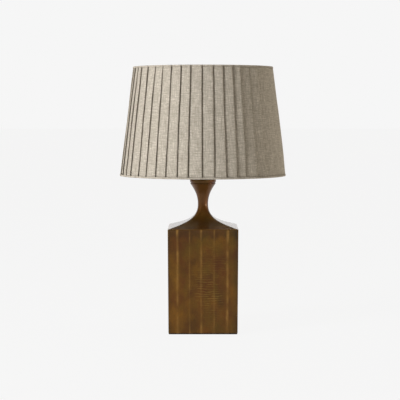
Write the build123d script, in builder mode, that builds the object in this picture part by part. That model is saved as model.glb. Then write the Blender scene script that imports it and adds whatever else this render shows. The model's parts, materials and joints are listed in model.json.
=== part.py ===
from build123d import *
from math import cos, radians, sin, sqrt
import os

os.makedirs("parts", exist_ok=True)

# A table lamp: a square cast column with hand-cut flutes, a coved roof and a round neck, under a
# knife-pleated linen shade on a wire frame. Millimetres and degrees. +Z is up, -Y is the front, and
# the origin is on the table under the middle of the column.

# ---- Driving dimensions ----

# Foot: felt, closing board and iron weight
felt_thickness = 2.0
felt_inset = 1.5
board_thickness = 4.0
weight_thickness = 14.0
nut_pocket_radius = 17.0
nut_pocket_room = 2.0
cord_channel_width = 11.0
foot_screw_spacing = 96.0
foot_screw_radius = 2.0
foot_screw_head_radius = 4.0
foot_screw_length = 14.0
foot_screw_slot = 1.0

# Column body: one hollow casting, a little wider at the eave than at the foot
shaft_spread = 2.7
flute_widths = [18.4, 25.0, 24.2, 27.0, 28.0, 20.4]
flute_depth = 0.9
corner_round = 1.6
column_wall = 4.0
seat_ledge = 1.6
eave_height = 217.8
eave_band = 1.8

# Roof, neck and flare: the rises stack up from the eave to the narrowest part of the neck and on to
# the cap, and the pull of each end of the two curves sets how full they are
neck_rise = 48.5
flare_rise = 42.7
roof_slope = 16.8
roof_pull = 39.3
neck_radius = 10.8
neck_corner_share = 0.98
neck_pull_below = 30.6
neck_pull_above = 17.8
flare_slope = 55.0
flare_pull = 15.5
flare_radius = 26.4

# Neck cap on top of the flare
cap_spigot_radius = 18.0
cap_spigot_depth = 6.0
cap_edge_lip = 0.7
cap_edge_rise = 1.6
cap_flange_thickness = 9.4
cap_overhang = 1.2

# Hollow threaded rod and its nuts
rod_radius = 5.0
rod_wall = 1.0
rod_end_gap = 1.5
nut_across_flats = 14.0
nut_thickness = 4.5
washer_radius = 10.0
washer_thickness = 1.5

# Cord inlet in the back wall
inlet_rise = 4.5
grommet_bore_radius = 3.6
grommet_neck_radius = 5.0
grommet_flange_radius = 7.0
grommet_flange_thickness = 2.0

# Lampholder for a screw-base bulb, with a push-through switch bar. Heights are above its bottom.
holder_shell = 1.0
holder_entry_radius = 7.6
holder_entry_height = 7.0
holder_cone_height = 12.0
holder_cap_height = 37.0
holder_lip_rise = 4.0
holder_lip_room = 1.6
switch_height = 27.0
switch_travel = 6.0
switch_bar_radius = 2.0
switch_knob_radius = 3.2
switch_knob_length = 4.0
socket_floor_height = 43.0
socket_wall = 3.4
socket_room = 1.4
screw_shell_wall = 0.4
contact_strip_width = 7.0
contact_strip_thickness = 0.5
contact_rise = 2.0
terminal_spacing = 17.0
terminal_size = 6.0
terminal_height = 7.0
terminal_screw_radius = 1.5

# Shade seat on the lampholder, fitter ring and clamp ring
shade_seat_height = 51.0
shade_seat_thickness = 2.0
shade_seat_width = 4.5
fitter_ring_width = 6.0
fitter_ring_thickness = 2.0
clamp_ring_lip = 2.0
clamp_ring_thickness = 6.0
clamp_ring_scallops = 16
clamp_ring_scallop_radius = 2.2

# Bulb
bulb_thread_radius = 13.2
bulb_thread_length = 22.0
bulb_contact_radius = 4.6
bulb_contact_height = 1.6
bulb_insulator_height = 3.0
bulb_cap_roll = 1.2
bulb_collar_lip = 1.4
bulb_body_height = 40.0
bulb_dome_base = 7.0
bulb_dome_radius = 30.0

# Shade: a tapered drum, which hangs from the fitter ring by its arms
shade_drop = 49.0
shade_height = 228.0
shade_bottom_radius = 175.0
shade_taper = 28.4
pleat_count = 44
pleat_step = 2.4
pleat_cloth = 0.8
front_fold_angle = 269.0
binding_thickness = 0.5
binding_height = 3.6
lining_thickness = 0.6
ring_wire_radius = 1.5
strut_count = 6
strut_wire_radius = 1.2
arm_count = 3
arm_wire_radius = 1.6
arm_level_length = 22.0
arm_bend_radius = 14.0

# ---- Fits ----

seat_gap = 0.2
cloth_gap = 0.1
weld_gap = 0.05
thread_gap = 0.05
slide_gap = 0.05
hole_gap = 0.4
fitter_gap = 0.5
rod_room = 1.2
bulb_contact_gap = 0.3

# ---- Levels and widths that follow ----

eave_width = sum(flute_widths) + 2 * corner_round
foot_width = eave_width - shaft_spread
neck_height = eave_height + neck_rise
flare_height = neck_height + flare_rise
cavity_inset = column_wall + flute_depth
seat_width = foot_width - 2 * cavity_inset + 2 * seat_ledge
neck_bore_radius = rod_radius + rod_room

board_bottom = felt_thickness
weight_bottom = board_bottom + board_thickness
weight_top = weight_bottom + weight_thickness
nut_pocket_top = weight_bottom + washer_thickness + nut_thickness + nut_pocket_room
inlet_height = weight_bottom + inlet_rise

cap_flange_radius = flare_radius + cap_overhang
cap_top = flare_height + cap_flange_thickness
holder_bottom = cap_top + washer_thickness + nut_thickness
cone_bottom = holder_bottom + holder_entry_height
cone_top = cone_bottom + holder_cone_height
holder_cap_top = holder_bottom + holder_cap_height
switch_level = holder_bottom + switch_height
socket_floor = holder_bottom + socket_floor_height
skirt_top = socket_floor + bulb_thread_length + holder_lip_rise
rod_bottom = weight_bottom + rod_end_gap
rod_top = cone_bottom + rod_radius

screw_shell_radius = bulb_thread_radius + thread_gap
socket_radius = screw_shell_radius + screw_shell_wall + slide_gap
holder_inner_radius = socket_radius + socket_wall + socket_room
holder_radius = holder_inner_radius + holder_shell
core_radius = holder_inner_radius - seat_gap
holder_lip_radius = bulb_thread_radius + holder_lip_room
bulb_bottom = socket_floor + contact_rise + bulb_contact_gap
bulb_insulator_radius = bulb_thread_radius - bulb_cap_roll
bulb_collar_radius = bulb_thread_radius + bulb_collar_lip

shade_seat = holder_bottom + shade_seat_height
shade_seat_radius = holder_radius + shade_seat_width
fitter_bottom = shade_seat + seat_gap
fitter_hole_radius = holder_radius + fitter_gap
fitter_ring_radius = fitter_hole_radius + fitter_ring_width
clamp_bottom = fitter_bottom + fitter_ring_thickness + seat_gap
clamp_ring_radius = fitter_ring_radius + clamp_ring_lip
shade_bottom_height = fitter_bottom - shade_drop
shade_top_height = shade_bottom_height + shade_height
shade_top_radius = shade_bottom_radius - shade_taper


def column_width(height):
    """Width of the column at a height: it opens a little from the foot to the eave."""
    share = (height - board_bottom) / (eave_height - board_bottom)
    return foot_width + share * (eave_width - foot_width)


# Outer face of the back wall at the cord inlet, facing back
inlet_plane = Plane(
    origin=(0, column_width(inlet_height) / 2, inlet_height), x_dir=(1, 0, 0), z_dir=(0, 1, 0)
)


def roof_corner(half_width):
    """Corner radius of a roof section: crisp hips at the eave, close to a circle at the neck."""
    return neck_corner_share * neck_radius**2 / half_width


def shade_radius(height, inset=0.0):
    """Radius of the tapered drum at a height, less an inset."""
    share = (height - shade_bottom_height) / shade_height
    return shade_bottom_radius + share * (shade_top_radius - shade_bottom_radius) - inset


def drum_band(bottom, top, outer, inner):
    """Corners of a wall that follows the drum's slope between two heights and two insets."""
    return [
        (shade_radius(bottom, inner), bottom),
        (shade_radius(bottom, outer), bottom),
        (shade_radius(top, outer), top),
        (shade_radius(top, inner), top),
    ]


# ---- Column body ----

with BuildLine(Plane.XZ) as roof_curve:
    Bezier(
        (eave_width / 2, eave_height),
        (
            eave_width / 2 - roof_pull * cos(radians(roof_slope)),
            eave_height + roof_pull * sin(radians(roof_slope)),
        ),
        (neck_radius, neck_height - neck_pull_below),
        (neck_radius, neck_height),
    )

with BuildPart() as column_body:
    # Fluted shaft: the same six flutes on each side, between two outlines that differ in width
    for level in (board_bottom, eave_height - eave_band):
        half = column_width(level) / 2
        flute_scale = (half - corner_round) / (eave_width / 2 - corner_round)
        corner_middle = half - corner_round * (1 - sqrt(0.5))
        with BuildSketch(Plane.XY.offset(level)):
            with BuildLine():
                for side in range(4):
                    left = corner_round - half
                    for flute_width in flute_widths:
                        right = left + flute_width * flute_scale
                        hollow = [
                            Vector(left, -half),
                            Vector((left + right) / 2, flute_depth - half),
                            Vector(right, -half),
                        ]
                        ThreePointArc(*[point.rotate(Axis.Z, 90 * side) for point in hollow])
                        left = right
                    corner = [
                        Vector(half - corner_round, -half),
                        Vector(corner_middle, -corner_middle),
                        Vector(half, corner_round - half),
                    ]
                    ThreePointArc(*[point.rotate(Axis.Z, 90 * side) for point in corner])
            make_face()
    loft(ruled=True)
    # Plain band under the eave
    with BuildSketch(Plane.XY.offset(eave_height - eave_band)):
        RectangleRounded(eave_width, eave_width, corner_round)
    extrude(amount=eave_band)
    # Roof: square sections that shrink and round off into the neck
    for share in (0.0, 0.12, 0.25, 0.38, 0.5, 0.62, 0.74, 0.87, 1.0):
        place = roof_curve.line @ share
        with BuildSketch(Plane.XY.offset(place.Z)):
            RectangleRounded(2 * place.X, 2 * place.X, roof_corner(place.X))
    loft()
    # Flare: turned, from the neck up to the cap
    with BuildSketch(Plane.XZ):
        with BuildLine():
            flare_curve = Bezier(
                (neck_radius, neck_height),
                (neck_radius, neck_height + neck_pull_above),
                (
                    flare_radius - flare_pull * cos(radians(flare_slope)),
                    flare_height - flare_pull * sin(radians(flare_slope)),
                ),
                (flare_radius, flare_height),
            )
            Polyline(flare_curve @ 1, (0, flare_height), (0, neck_height), flare_curve @ 0)
        make_face()
    revolve(axis=Axis.Z)
    # Hollow of the shaft
    for level in (board_bottom, eave_height - column_wall):
        hollow_width = column_width(level) - 2 * cavity_inset
        with BuildSketch(Plane.XY.offset(level)):
            RectangleRounded(hollow_width, hollow_width, corner_round)
    loft(ruled=True, mode=Mode.SUBTRACT)
    # Hollow of the roof, the wall's thickness below its outside
    for share in (0.0, 0.2, 0.4, 0.6, 0.75):
        place = roof_curve.line @ share
        half = place.X - cavity_inset
        with BuildSketch(Plane.XY.offset(place.Z - column_wall)):
            RectangleRounded(2 * half, 2 * half, corner_round)
    loft(ruled=True, mode=Mode.SUBTRACT)
    # Bore of the neck, and the seat of the cap's spigot
    with BuildSketch(Plane.XY.offset(eave_height)):
        Circle(neck_bore_radius)
    extrude(amount=flare_height - eave_height, mode=Mode.SUBTRACT)
    with BuildSketch(Plane.XY.offset(flare_height - cap_spigot_depth - seat_gap)):
        Circle(cap_spigot_radius + seat_gap)
    extrude(amount=cap_spigot_depth + seat_gap, mode=Mode.SUBTRACT)
    # Seat of the weight and the board
    with BuildSketch(Plane.XY.offset(board_bottom)):
        RectangleRounded(seat_width, seat_width, corner_round)
    extrude(amount=weight_top - board_bottom, mode=Mode.SUBTRACT)
    # Hole of the cord inlet in the back wall
    with BuildSketch(inlet_plane):
        Circle(grommet_neck_radius + seat_gap)
    extrude(amount=-2 * cavity_inset, mode=Mode.SUBTRACT)
column_body.part.label = "column_body"
export_step(column_body.part, "parts/column_body.step")

# ---- Foot ----

with BuildPart() as base_weight:
    plate_width = seat_width - 2 * seat_gap
    with BuildSketch(Plane.XY.offset(weight_bottom)):
        RectangleRounded(plate_width, plate_width, corner_round)
    extrude(amount=weight_thickness)
    # Pocket for the nut, and the channel that leads the cord to it from the back wall
    with BuildSketch(Plane.XY.offset(weight_bottom)):
        Circle(nut_pocket_radius)
        with Locations((0, plate_width / 4)):
            Rectangle(cord_channel_width, plate_width / 2)
    extrude(amount=nut_pocket_top - weight_bottom, mode=Mode.SUBTRACT)
    with BuildSketch(Plane.XY.offset(nut_pocket_top)):
        Circle(rod_radius + hole_gap)
    extrude(amount=weight_top - nut_pocket_top, mode=Mode.SUBTRACT)
    with BuildSketch(Plane.XY.offset(weight_bottom)):
        with GridLocations(foot_screw_spacing, foot_screw_spacing, 2, 2):
            Circle(foot_screw_radius + thread_gap)
    extrude(amount=foot_screw_length, mode=Mode.SUBTRACT)
base_weight.part.label = "base_weight"
export_step(base_weight.part, "parts/base_weight.step")

with BuildPart() as base_board:
    with BuildSketch(Plane.XY.offset(board_bottom)):
        RectangleRounded(plate_width, plate_width, corner_round)
    extrude(amount=board_thickness)
    with Locations(Plane.XY.offset(board_bottom)):
        with GridLocations(foot_screw_spacing, foot_screw_spacing, 2, 2):
            Hole(foot_screw_radius + hole_gap)
    # Countersinks, open downwards
    with BuildSketch(Plane.XY.offset(board_bottom)):
        with GridLocations(foot_screw_spacing, foot_screw_spacing, 2, 2):
            Circle(foot_screw_head_radius + hole_gap)
    extrude(amount=foot_screw_head_radius - foot_screw_radius, taper=45, mode=Mode.SUBTRACT)
base_board.part.label = "base_board"
export_step(base_board.part, "parts/base_board.step")

with BuildPart() as foot_screw:
    head_height = foot_screw_head_radius - foot_screw_radius
    with BuildSketch(Plane.XZ):
        with BuildLine():
            Polyline(
                (0, board_bottom),
                (foot_screw_head_radius, board_bottom),
                (foot_screw_radius, board_bottom + head_height),
                (foot_screw_radius, board_bottom + foot_screw_length),
                (0, board_bottom + foot_screw_length),
                close=True,
            )
        make_face()
    revolve(axis=Axis.Z)
    with BuildSketch(Plane.XY.offset(board_bottom)):
        Rectangle(2 * foot_screw_head_radius, foot_screw_slot)
    extrude(amount=head_height / 2, mode=Mode.SUBTRACT)
with BuildPart() as base_screws:
    with GridLocations(foot_screw_spacing, foot_screw_spacing, 2, 2):
        add(foot_screw.part)
base_screws.part.label = "base_screws"
export_step(base_screws.part, "parts/base_screws.step")

with BuildPart() as base_felt:
    felt_width = foot_width - 2 * felt_inset
    with BuildSketch():
        RectangleRounded(felt_width, felt_width, corner_round)
    extrude(amount=felt_thickness)
base_felt.part.label = "base_felt"
export_step(base_felt.part, "parts/base_felt.step")

with BuildPart() as cord_grommet:
    with BuildSketch(inlet_plane.offset(seat_gap)):
        Circle(grommet_flange_radius)
    extrude(amount=grommet_flange_thickness)
    with BuildSketch(inlet_plane.offset(seat_gap)):
        Circle(grommet_neck_radius)
    extrude(amount=seat_width / 2 - column_width(inlet_height) / 2 - seat_gap)
    with BuildSketch(inlet_plane.offset(seat_gap + grommet_flange_thickness)):
        Circle(grommet_bore_radius)
    extrude(amount=-2 * cavity_inset, mode=Mode.SUBTRACT)
cord_grommet.part.label = "cord_grommet"
export_step(cord_grommet.part, "parts/cord_grommet.step")

# ---- Rod, nuts and neck cap ----

with BuildPart() as threaded_rod:
    with BuildSketch(Plane.XY.offset(rod_bottom)):
        Circle(rod_radius)
        Circle(rod_radius - rod_wall, mode=Mode.SUBTRACT)
    extrude(amount=rod_top - rod_bottom)
threaded_rod.part.label = "threaded_rod"
export_step(threaded_rod.part, "parts/threaded_rod.step")

with BuildPart() as rod_washers:
    for level in (nut_pocket_top - washer_thickness, cap_top):
        with BuildSketch(Plane.XY.offset(level)):
            Circle(washer_radius)
            Circle(rod_radius + hole_gap, mode=Mode.SUBTRACT)
        extrude(amount=washer_thickness)
rod_washers.part.label = "rod_washers"
export_step(rod_washers.part, "parts/rod_washers.step")

with BuildPart() as rod_nuts:
    for level in (nut_pocket_top - washer_thickness - nut_thickness, cap_top + washer_thickness):
        with BuildSketch(Plane.XY.offset(level)):
            RegularPolygon(nut_across_flats / 2, 6, major_radius=False)
            Circle(rod_radius + thread_gap, mode=Mode.SUBTRACT)
        extrude(amount=nut_thickness)
rod_nuts.part.label = "rod_nuts"
export_step(rod_nuts.part, "parts/rod_nuts.step")

with BuildPart() as neck_cap:
    with BuildSketch(Plane.XZ):
        with BuildLine():
            Polyline(
                (rod_radius + hole_gap, flare_height - cap_spigot_depth),
                (cap_spigot_radius, flare_height - cap_spigot_depth),
                (cap_spigot_radius, flare_height),
                (flare_radius, flare_height),
                (flare_radius + cap_edge_lip, flare_height + cap_edge_rise),
                (cap_flange_radius, cap_top - cap_edge_lip),
                (cap_flange_radius - cap_edge_lip, cap_top),
                (rod_radius + hole_gap, cap_top),
                close=True,
            )
        make_face()
    revolve(axis=Axis.Z)
neck_cap.part.label = "neck_cap"
export_step(neck_cap.part, "parts/neck_cap.step")

# ---- Lampholder ----

with BuildPart() as lampholder_cap:
    with BuildSketch(Plane.XZ):
        with BuildLine():
            Polyline(
                (rod_radius + thread_gap, holder_bottom),
                (holder_entry_radius, holder_bottom),
                (holder_entry_radius, cone_bottom),
                (holder_radius, cone_top),
                (holder_radius, holder_cap_top),
                (holder_inner_radius, holder_cap_top),
                (holder_inner_radius, cone_top),
                (holder_entry_radius, cone_bottom + holder_shell),
                (rod_radius + thread_gap, cone_bottom + holder_shell),
                close=True,
            )
        make_face()
    revolve(axis=Axis.Z)
    # The switch bar passes through from side to side
    with BuildSketch(Plane.YZ.offset(-holder_radius)):
        with Locations((0, switch_level)):
            Circle(switch_bar_radius + hole_gap)
    extrude(amount=2 * holder_radius, mode=Mode.SUBTRACT)
lampholder_cap.part.label = "lampholder_cap"
export_step(lampholder_cap.part, "parts/lampholder_cap.step")

core_bottom = cone_top + seat_gap
core_top = skirt_top - holder_shell - seat_gap
with BuildPart() as lampholder_core:
    with BuildSketch(Plane.XY.offset(core_bottom)):
        Circle(core_radius)
    extrude(amount=socket_floor + socket_wall - core_bottom)
    with BuildSketch(Plane.XY.offset(socket_floor)):
        Circle(socket_radius + socket_wall)
    extrude(amount=core_top - socket_floor)
    with BuildSketch(Plane.XY.offset(socket_floor)):
        Circle(socket_radius)
    extrude(amount=core_top - socket_floor, mode=Mode.SUBTRACT)
    # Bore of the switch bar
    with BuildSketch(Plane.YZ.offset(-core_radius)):
        with Locations((0, switch_level)):
            Circle(switch_bar_radius + slide_gap)
    extrude(amount=2 * core_radius, mode=Mode.SUBTRACT)
    # Pockets of the two terminals, open downwards
    with BuildSketch(Plane.XY.offset(core_bottom)):
        with GridLocations(0, terminal_spacing, 1, 2):
            Rectangle(terminal_size + 2 * seat_gap, terminal_size + 2 * seat_gap)
    extrude(amount=terminal_height + seat_gap, mode=Mode.SUBTRACT)
lampholder_core.part.label = "lampholder_core"
export_step(lampholder_core.part, "parts/lampholder_core.step")

with BuildPart() as lampholder_terminals:
    with BuildSketch(Plane.XY.offset(core_bottom)):
        with GridLocations(0, terminal_spacing, 1, 2):
            Rectangle(terminal_size, terminal_size)
            Circle(terminal_screw_radius + thread_gap, mode=Mode.SUBTRACT)
    extrude(amount=terminal_height)
lampholder_terminals.part.label = "lampholder_terminals"
export_step(lampholder_terminals.part, "parts/lampholder_terminals.step")

with BuildPart() as terminal_screws:
    with BuildSketch(Plane.XY.offset(core_bottom)):
        with GridLocations(0, terminal_spacing, 1, 2):
            Circle(terminal_screw_radius)
    extrude(amount=terminal_height - terminal_screw_radius)
    with BuildSketch(Plane.XY.offset(core_bottom)):
        with GridLocations(0, terminal_spacing, 1, 2):
            Rectangle(terminal_size, contact_strip_thickness)
    extrude(amount=terminal_screw_radius / 2, mode=Mode.SUBTRACT)
terminal_screws.part.label = "terminal_screws"
export_step(terminal_screws.part, "parts/terminal_screws.step")

with BuildPart() as screw_shell:
    with BuildSketch(Plane.XZ):
        with BuildLine():
            shell_outer = screw_shell_radius + screw_shell_wall
            shell_lip = bulb_insulator_radius
            Polyline(
                (shell_lip, socket_floor),
                (shell_outer, socket_floor),
                (shell_outer, socket_floor + bulb_thread_length),
                (screw_shell_radius, socket_floor + bulb_thread_length),
                (screw_shell_radius, socket_floor + screw_shell_wall),
                (shell_lip, socket_floor + screw_shell_wall),
                close=True,
            )
        make_face()
    revolve(axis=Axis.Z)
screw_shell.part.label = "screw_shell"
export_step(screw_shell.part, "parts/screw_shell.step")

# Sprung strip under the bulb's contact: a flat foot, a rise, a level top and a turned-down end
with BuildPart() as centre_contact:
    strip = contact_strip_thickness
    reach = bulb_contact_radius
    strip_side = Plane((0, contact_strip_width / 2, socket_floor), x_dir=(1, 0, 0), z_dir=(0, -1, 0))
    with BuildSketch(strip_side):
        with BuildLine():
            Polyline(
                (-2 * reach, 0),
                (-reach, 0),
                (-reach / 2, contact_rise - strip),
                (reach, contact_rise - strip),
                (1.5 * reach, contact_rise / 2 - strip / 2),
                (1.5 * reach, contact_rise / 2 + strip / 2),
                (reach, contact_rise),
                (-reach / 2 - strip / 2, contact_rise),
                (-reach - strip / 2, strip),
                (-2 * reach, strip),
                close=True,
            )
        make_face()
    extrude(amount=contact_strip_width)
centre_contact.part.label = "centre_contact"
export_step(centre_contact.part, "parts/centre_contact.step")

with BuildPart() as lampholder_skirt:
    with BuildSketch(Plane.XZ):
        with BuildLine():
            Polyline(
                (holder_inner_radius, holder_cap_top),
                (holder_radius, holder_cap_top),
                (holder_radius, shade_seat - shade_seat_thickness),
                (shade_seat_radius, shade_seat - shade_seat_thickness),
                (shade_seat_radius, shade_seat),
                (holder_radius, shade_seat),
                (holder_radius, skirt_top),
                (holder_lip_radius, skirt_top),
                (holder_lip_radius, skirt_top - holder_shell),
                (holder_inner_radius, skirt_top - holder_shell),
                close=True,
            )
        make_face()
    revolve(axis=Axis.Z)
lampholder_skirt.part.label = "lampholder_skirt"
export_step(lampholder_skirt.part, "parts/lampholder_skirt.step")

# Push-through bar: pushed from its longer end it slides by the switch's travel
with BuildPart() as switch_bar:
    knob_clear = holder_radius + hole_gap
    bar_left = -knob_clear - switch_travel
    with BuildSketch(Plane.YZ.offset(bar_left)):
        with Locations((0, switch_level)):
            Circle(switch_bar_radius)
    extrude(amount=knob_clear - bar_left)
    for knob_left in (bar_left - switch_knob_length, knob_clear):
        with BuildSketch(Plane.YZ.offset(knob_left)):
            with Locations((0, switch_level)):
                Circle(switch_knob_radius)
        extrude(amount=switch_knob_length)
switch_bar.part.label = "switch_bar"
export_step(switch_bar.part, "parts/switch_bar.step")

with BuildPart() as shade_clamp_ring:
    with BuildSketch(Plane.XY.offset(clamp_bottom)):
        Circle(clamp_ring_radius)
        Circle(holder_radius + thread_gap, mode=Mode.SUBTRACT)
        with PolarLocations(clamp_ring_radius, clamp_ring_scallops):
            Circle(clamp_ring_scallop_radius, mode=Mode.SUBTRACT)
    extrude(amount=clamp_ring_thickness)
shade_clamp_ring.part.label = "shade_clamp_ring"
export_step(shade_clamp_ring.part, "parts/shade_clamp_ring.step")

# ---- Bulb ----

insulator_bottom = bulb_bottom + bulb_contact_height
thread_bottom = insulator_bottom + bulb_insulator_height
collar_bottom = thread_bottom + bulb_thread_length
dome_centre = collar_bottom + bulb_body_height + bulb_dome_base
dome_base_radius = sqrt(bulb_dome_radius**2 - bulb_dome_base**2)

with BuildPart() as bulb_contact:
    with BuildSketch(Plane.XY.offset(bulb_bottom)):
        Circle(bulb_contact_radius)
    extrude(amount=bulb_contact_height)
bulb_contact.part.label = "bulb_contact"
export_step(bulb_contact.part, "parts/bulb_contact.step")

with BuildPart() as bulb_insulator:
    with BuildSketch(Plane.XY.offset(insulator_bottom)):
        Circle(bulb_contact_radius)
    with BuildSketch(Plane.XY.offset(thread_bottom)):
        Circle(bulb_insulator_radius)
    loft(ruled=True)
bulb_insulator.part.label = "bulb_insulator"
export_step(bulb_insulator.part, "parts/bulb_insulator.step")

with BuildPart() as bulb_screw_cap:
    with BuildSketch(Plane.XY.offset(thread_bottom)):
        Circle(bulb_thread_radius)
    extrude(amount=bulb_thread_length)
bulb_screw_cap.part.label = "bulb_screw_cap"
export_step(bulb_screw_cap.part, "parts/bulb_screw_cap.step")

with BuildPart() as bulb_body:
    with BuildSketch(Plane.XY.offset(collar_bottom)):
        Circle(bulb_collar_radius)
    with BuildSketch(Plane.XY.offset(collar_bottom + bulb_body_height)):
        Circle(dome_base_radius)
    loft(ruled=True)
bulb_body.part.label = "bulb_body"
export_step(bulb_body.part, "parts/bulb_body.step")

with BuildPart() as bulb_dome:
    with BuildSketch(Plane.XZ):
        with BuildLine():
            dome = ThreePointArc(
                (dome_base_radius, dome_centre - bulb_dome_base),
                (bulb_dome_radius * sqrt(0.5), dome_centre + bulb_dome_radius * sqrt(0.5)),
                (0, dome_centre + bulb_dome_radius),
            )
            Polyline(dome @ 1, (0, dome_centre - bulb_dome_base), dome @ 0)
        make_face()
    revolve(axis=Axis.Z)
bulb_dome.part.label = "bulb_dome"
export_step(bulb_dome.part, "parts/bulb_dome.step")

# ---- Shade ----

# Insets from the outside of the drum, layer by layer
pleat_outside = binding_thickness + cloth_gap
pleat_inside = pleat_outside + pleat_step + pleat_cloth
wire_centre = pleat_inside + cloth_gap + ring_wire_radius
lining_outside = wire_centre + ring_wire_radius + cloth_gap
lining_inside = lining_outside + lining_thickness
binding_inside = lining_inside + cloth_gap + binding_thickness
cloth_bottom = shade_bottom_height + binding_thickness + cloth_gap
cloth_top = shade_top_height - binding_thickness - cloth_gap
bottom_ring_level = cloth_bottom + ring_wire_radius
top_ring_level = cloth_top - ring_wire_radius

with BuildPart() as shade_pleats:
    # Knife pleats: seen from outside, each panel starts tucked under its left neighbour's raised
    # edge and ends raised at its right
    for level in (cloth_bottom, cloth_top):
        raised = shade_radius(level, pleat_outside)
        tucked = raised * (1 - pleat_step / shade_bottom_radius)
        edges = []
        for pleat in range(pleat_count):
            left = radians(front_fold_angle + 360 * pleat / pleat_count)
            right = radians(front_fold_angle + 360 * (pleat + 1) / pleat_count)
            edges.append((tucked * cos(left), tucked * sin(left)))
            edges.append((raised * cos(right), raised * sin(right)))
        with BuildSketch(Plane.XY.offset(level)):
            with BuildLine():
                Polyline(*edges, close=True)
            make_face()
    loft(ruled=True)
    # The inside has one flat for each pleat, opposite its fold
    for level in (cloth_bottom, cloth_top):
        with BuildSketch(Plane.XY.offset(level)):
            RegularPolygon(
                shade_radius(level, pleat_inside),
                pleat_count,
                major_radius=False,
                rotation=front_fold_angle + 180 / pleat_count,
            )
    loft(ruled=True, mode=Mode.SUBTRACT)
shade_pleats.part.label = "shade_pleats"
export_step(shade_pleats.part, "parts/shade_pleats.step")


def wire_ring(level):
    """Ring of the frame's wire at a height; the wire has eight sides, because cloth hides it."""
    radius = shade_radius(level, wire_centre)
    with BuildPart() as ring:
        with BuildSketch(Plane.XZ):
            with Locations((radius, level)):
                RegularPolygon(ring_wire_radius, 8)
        revolve(axis=Axis.Z)
    return ring


shade_bottom_ring = wire_ring(bottom_ring_level)
shade_bottom_ring.part.label = "shade_bottom_ring"
export_step(shade_bottom_ring.part, "parts/shade_bottom_ring.step")

shade_top_ring = wire_ring(top_ring_level)
shade_top_ring.part.label = "shade_top_ring"
export_step(shade_top_ring.part, "parts/shade_top_ring.step")

# Struts: from ring to ring, each end against the ring's wire
ring_point = Vector(shade_radius(bottom_ring_level, wire_centre), 0, bottom_ring_level)
top_ring_point = Vector(shade_radius(top_ring_level, wire_centre), 0, top_ring_level)
strut_line = top_ring_point - ring_point
wire_end = ring_wire_radius + weld_gap
with BuildPart() as strut:
    strut_start = ring_point + strut_line.normalized() * wire_end
    with BuildSketch(Plane(origin=strut_start, z_dir=strut_line)):
        Circle(strut_wire_radius)
    extrude(amount=strut_line.length - 2 * wire_end)
with BuildPart() as shade_struts:
    with PolarLocations(0, strut_count):
        add(strut.part)
shade_struts.part.label = "shade_struts"
export_step(shade_struts.part, "parts/shade_struts.step")

with BuildPart() as shade_fitter_ring:
    with BuildSketch(Plane.XY.offset(fitter_bottom)):
        Circle(fitter_ring_radius)
        Circle(fitter_hole_radius, mode=Mode.SUBTRACT)
    extrude(amount=fitter_ring_thickness)
shade_fitter_ring.part.label = "shade_fitter_ring"
export_step(shade_fitter_ring.part, "parts/shade_fitter_ring.step")

# Arms: level at the fitter ring, then bent down and out to the bottom ring
arm_level = fitter_bottom + fitter_ring_thickness - arm_wire_radius
arm_inner = Vector(fitter_ring_radius + weld_gap, 0, arm_level)
arm_bend = Vector(fitter_ring_radius + arm_level_length, 0, arm_level)
arm_outer = ring_point + (arm_bend - ring_point).normalized() * wire_end
with BuildLine() as arm_route:
    FilletPolyline(arm_inner, arm_bend, arm_outer, radius=arm_bend_radius)
arm_start = Plane(origin=arm_route.line @ 0, z_dir=arm_route.line % 0)
arm_end = Plane(origin=arm_route.line @ 1, z_dir=-(arm_route.line % 1))
with BuildPart() as arm:
    with BuildSketch(arm_start):
        Circle(arm_wire_radius)
    sweep(path=arm_route.line)
with BuildPart() as shade_arms:
    with PolarLocations(0, arm_count, start_angle=90):
        add(arm.part)
shade_arms.part.label = "shade_arms"
export_step(shade_arms.part, "parts/shade_arms.step")

# Slit that each arm passes through in the lining and the bottom binding
with BuildPart() as arm_slit:
    with BuildSketch(arm_end):
        Circle(arm_wire_radius + cloth_gap)
    extrude(amount=2 * binding_inside)

with BuildPart() as shade_lining:
    with BuildSketch(Plane.XZ):
        with BuildLine():
            Polyline(*drum_band(cloth_bottom, cloth_top, lining_outside, lining_inside), close=True)
        make_face()
    revolve(axis=Axis.Z)
    with PolarLocations(0, arm_count, start_angle=90):
        add(arm_slit.part, mode=Mode.SUBTRACT)
shade_lining.part.label = "shade_lining"
export_step(shade_lining.part, "parts/shade_lining.step")


def edge_binding(edge, inward):
    """Strip of the shade's own linen folded over an edge of the drum; inward is 1 up or -1 down."""
    fold = edge + inward * binding_thickness
    hem = edge + inward * binding_height
    with BuildPart() as binding:
        with BuildSketch(Plane.XZ):
            with BuildLine():
                Polyline(
                    (shade_radius(hem, 0), hem),
                    (shade_radius(edge, 0), edge),
                    (shade_radius(edge, binding_inside), edge),
                    (shade_radius(hem, binding_inside), hem),
                    (shade_radius(hem, binding_inside - binding_thickness), hem),
                    (shade_radius(fold, binding_inside - binding_thickness), fold),
                    (shade_radius(fold, binding_thickness), fold),
                    (shade_radius(hem, binding_thickness), hem),
                    close=True,
                )
            make_face()
        revolve(axis=Axis.Z)
    return binding


shade_bottom_binding = edge_binding(shade_bottom_height, 1)
with shade_bottom_binding:
    with PolarLocations(0, arm_count, start_angle=90):
        add(arm_slit.part, mode=Mode.SUBTRACT)
shade_bottom_binding.part.label = "shade_bottom_binding"
export_step(shade_bottom_binding.part, "parts/shade_bottom_binding.step")

shade_top_binding = edge_binding(shade_top_height, -1)
shade_top_binding.part.label = "shade_top_binding"
export_step(shade_top_binding.part, "parts/shade_top_binding.step")
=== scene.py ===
"""Column table lamp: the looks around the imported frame.

Blender metres in the frame's own axes: +Z is up, -Y is the front, and the origin is on the table
under the middle of the column. Lengths that are read or written in millimetres use the factor MM.
"""

import json
import math
import random
from collections import namedtuple

import bmesh
import bpy
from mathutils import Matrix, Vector, noise


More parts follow.
